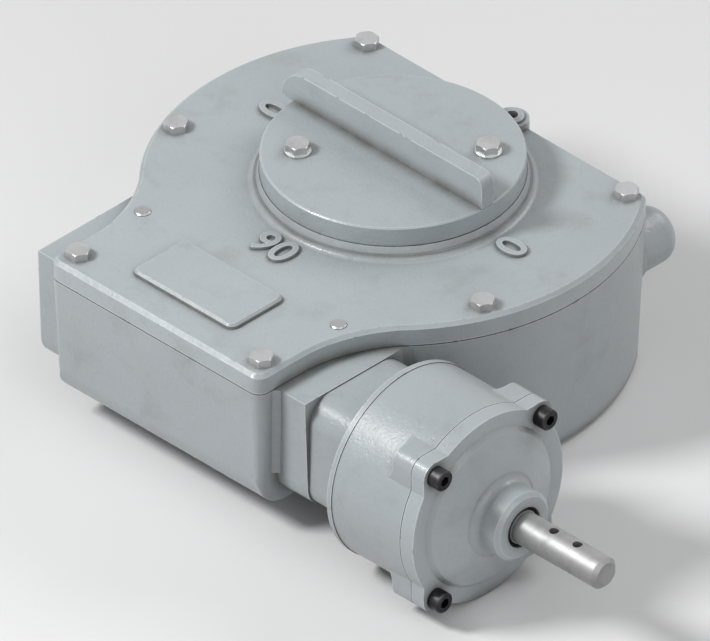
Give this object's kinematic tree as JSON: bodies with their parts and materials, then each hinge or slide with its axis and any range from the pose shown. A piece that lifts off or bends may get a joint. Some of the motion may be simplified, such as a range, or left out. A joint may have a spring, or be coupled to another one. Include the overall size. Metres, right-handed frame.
{
  "type": "valve worm gear operator",
  "caption": "Quarter-turn worm gear operator for a valve: round cast housing with a bolted cover, turning position indicator, stop screws and a planetary input reducer with a plain shaft.",
  "frame": {"origin": "centre of the valve flange at the base face, on the valve stem axis", "axes": "+X along the input shaft and out of it, +Y towards the flat back, +Z from the valve flange up to the indicator"},
  "size_m": [0.4586, 0.328, 0.1542],
  "materials": {
    "casting": "light grey enamel over cast iron",
    "bolt_zinc": "zinc plated",
    "screw_black": "black oxide",
    "steel": "machined",
    "shaft": "ground",
    "bronze": "bearing bronze",
    "iron": "machined ductile iron",
    "seal": "nitrile rubber",
    "gasket": "pressed fibre gasket"
  },
  "bodies": {
    "base": {"housing": "casting", "top_cover": "casting", "cover_gasket": "gasket", "cover_bolts": "bolt_zinc", "cover_dowels": "steel", "lower_bush": "bronze", "upper_bush": "bronze", "lower_seal": "seal", "upper_seal": "seal", "worm_left_outer_ring": "steel", "worm_left_balls": "steel", "worm_right_outer_ring": "steel", "worm_right_balls": "steel", "end_plug": "casting", "plug_ring": "screw_black", "bearing_ring": "screw_black", "worm_seal": "seal", "stop_nuts": "bolt_zinc", "stop_caps": "casting", "stop_cap_seals": "seal", "reducer_gasket": "gasket", "reducer_housing": "casting", "reducer_mount_screws": "screw_black", "ring_gear": "steel", "reducer_cover": "casting", "reducer_screws": "screw_black", "input_outer_ring": "steel", "input_balls": "steel", "input_seal": "seal"},
    "quadrant": {"worm_wheel": "iron", "drive_sleeve": "steel", "sleeve_ring": "screw_black", "indicator_plate": "casting", "indicator_bolts": "bolt_zinc"},
    "worm_shaft": {"worm": "steel", "worm_left_inner_ring": "steel", "worm_right_inner_ring": "steel", "planet_carrier": "steel", "carrier_key": "steel", "planet_pins": "steel", "pilot_bush": "bronze"},
    "planet_1": {"planet_gear_1": "steel", "planet_bush_1": "bronze"},
    "planet_2": {"planet_gear_2": "steel", "planet_bush_2": "bronze"},
    "planet_3": {"planet_gear_3": "steel", "planet_bush_3": "bronze"},
    "input": {"input_shaft": "shaft", "input_inner_ring": "steel"},
    "open_stop": {"stop_screw_open": "screw_black"},
    "shut_stop": {"stop_screw_shut": "screw_black"}
  },
  "joints": [
    {"name": "quadrant_turn", "type": "hinge", "parent": "base", "child": "quadrant", "pos_m": [0, 0, 0], "axis": [0, 0, 1], "range_deg": [0, 90]},
    {"name": "worm_turn", "type": "hinge", "parent": "base", "child": "worm_shaft", "pos_m": [0, -0.139, 0.0587], "axis": [1, 0, 0], "range_deg": [0, 4140]},
    {"name": "input_turn", "type": "hinge", "parent": "base", "child": "input", "pos_m": [0.25, -0.139, 0.0587], "axis": [1, 0, 0], "range_deg": [0, 16560]},
    {"name": "planet_1_turn", "type": "hinge", "parent": "worm_shaft", "child": "planet_1", "pos_m": [0.178, -0.139, 0.0287], "axis": [1, 0, 0], "range_deg": [-12420, 0]},
    {"name": "planet_2_turn", "type": "hinge", "parent": "worm_shaft", "child": "planet_2", "pos_m": [0.178, -0.11302, 0.0737], "axis": [1, 0, 0], "range_deg": [-12420, 0]},
    {"name": "planet_3_turn", "type": "hinge", "parent": "worm_shaft", "child": "planet_3", "pos_m": [0.178, -0.16498, 0.0737], "axis": [1, 0, 0], "range_deg": [-12420, 0]},
    {"name": "open_stop_adjust", "type": "slide", "parent": "base", "child": "open_stop", "axis": [0, 1, 0], "range_m": [0, 0.005]},
    {"name": "shut_stop_adjust", "type": "slide", "parent": "base", "child": "shut_stop", "axis": [0, 1, 0], "range_m": [0, 0.005]}
  ],
  "couplings": [
    {"joint": "worm_turn", "follows": "quadrant_turn", "ratio": 46},
    {"joint": "input_turn", "follows": "quadrant_turn", "ratio": 184},
    {"joint": "planet_1_turn", "follows": "quadrant_turn", "ratio": -138},
    {"joint": "planet_2_turn", "follows": "quadrant_turn", "ratio": -138},
    {"joint": "planet_3_turn", "follows": "quadrant_turn", "ratio": -138}
  ]
}
